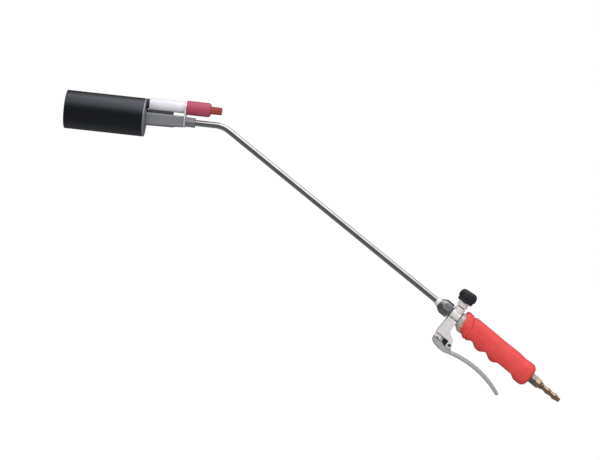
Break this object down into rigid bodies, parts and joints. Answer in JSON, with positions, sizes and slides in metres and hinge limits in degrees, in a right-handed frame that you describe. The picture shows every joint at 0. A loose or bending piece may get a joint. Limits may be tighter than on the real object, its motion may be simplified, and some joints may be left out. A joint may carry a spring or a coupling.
{
  "type": "propane torch",
  "caption": "Hand-held gas torch: bell burner with push-button igniter on a bent neck tube, needle valve, squeeze lever and hose barb.",
  "frame": {"origin": "on the grip's axis, at the middle of the grip, where a hand holds it", "axes": "+X along the grip and neck tube towards the hose barb, +Z from the lever towards the valve knob, Y = 0 is the plane of symmetry"},
  "size_m": [0.7497, 0.05, 0.1703],
  "materials": {
    "bell_black": "heat-proof black, satin",
    "bell_plate": "plain steel",
    "cast_grey": "bare casting, grainy",
    "chrome": "bright plating",
    "nickel": "warm nickel plating over brass",
    "steel": "plain steel",
    "dark_steel": "dark plated or heat-stained steel",
    "satin_steel": "satin grey pressed steel",
    "brass": "machined",
    "olive_brass": "machined, dulled",
    "white_ceramic": "smooth",
    "black_plastic": "moulded",
    "red_cap": "moulded",
    "red_button": "moulded",
    "red_grip": "moulded, soft sheen",
    "rubber": "nitrile"
  },
  "bodies": {
    "torch": {"neck_tube": "chrome", "head_nut": "cast_grey", "head_ferrule": "brass", "burner_support": "cast_grey", "gas_jet": "brass", "bell_back_plate": "bell_plate", "burner_bell": "bell_black", "bell_lock_nut": "dark_steel", "flame_holder": "dark_steel", "igniter_plate": "steel", "igniter_saddle": "black_plastic", "igniter_body": "white_ceramic", "igniter_front_collar": "black_plastic", "piezo_unit": "black_plastic", "igniter_cap": "red_cap", "electrode_insulator": "white_ceramic", "electrode_pin": "steel", "neck_sleeve": "nickel", "coupling_nut": "dark_steel", "compression_ring": "brass", "valve_body": "nickel", "needle_gland": "nickel", "needle_o_ring": "rubber", "plunger_gland": "nickel", "stem_o_ring": "rubber", "plunger_spring": "steel", "lever_pin": "dark_steel", "lever_buffer": "rubber", "hex_adapter": "olive_brass", "handle_pipe": "steel", "handle_grip": "red_grip", "rear_washer": "dark_steel", "rear_nut": "dark_steel", "hose_barb": "brass"},
    "lever": {"squeeze_lever": "satin_steel"},
    "plunger": {"valve_plunger": "brass", "plunger_seal": "rubber", "stem_eye": "steel", "plunger_cross_pin": "steel"},
    "needle": {"valve_needle": "steel"},
    "knob": {"knob_spindle": "brass", "control_knob": "black_plastic", "knob_screw": "steel"},
    "button": {"igniter_button": "red_button", "piezo_plunger": "white_ceramic"}
  },
  "joints": [
    {"name": "lever_squeeze", "type": "hinge", "parent": "torch", "child": "lever", "pos_m": [-0.0529, 0, -0.0351], "axis": [0, -1, 0], "range_deg": [0, 14], "stiffness_Nm_per_rad": 0.36, "springref_deg": -16.62},
    {"name": "plunger_pull", "type": "slide", "parent": "torch", "child": "plunger", "axis": [0, 0, -1], "range_m": [0, 0.0045], "deforming": ["plunger_spring"]},
    {"name": "needle_lift", "type": "slide", "parent": "torch", "child": "needle", "axis": [-0.1045, 0, 0.9945], "range_m": [0, 0.0015]},
    {"name": "knob_turn", "type": "hinge", "parent": "needle", "child": "knob", "pos_m": [-0.07283, 0, 0.02884], "axis": [-0.1045, 0, 0.9945], "range_deg": [0, 540]},
    {"name": "button_press", "type": "slide", "parent": "torch", "child": "button", "axis": [-0.8387, 0, -0.5446], "range_m": [0, 0.005], "stiffness_N_per_m": 1800, "springref_m": -0.002}
  ],
  "couplings": [
    {"joint": "plunger_pull", "follows": "lever_squeeze", "m_per_rad": 0.0174},
    {"joint": "knob_turn", "follows": "needle_lift", "rad_per_m": 6283.2}
  ]
}
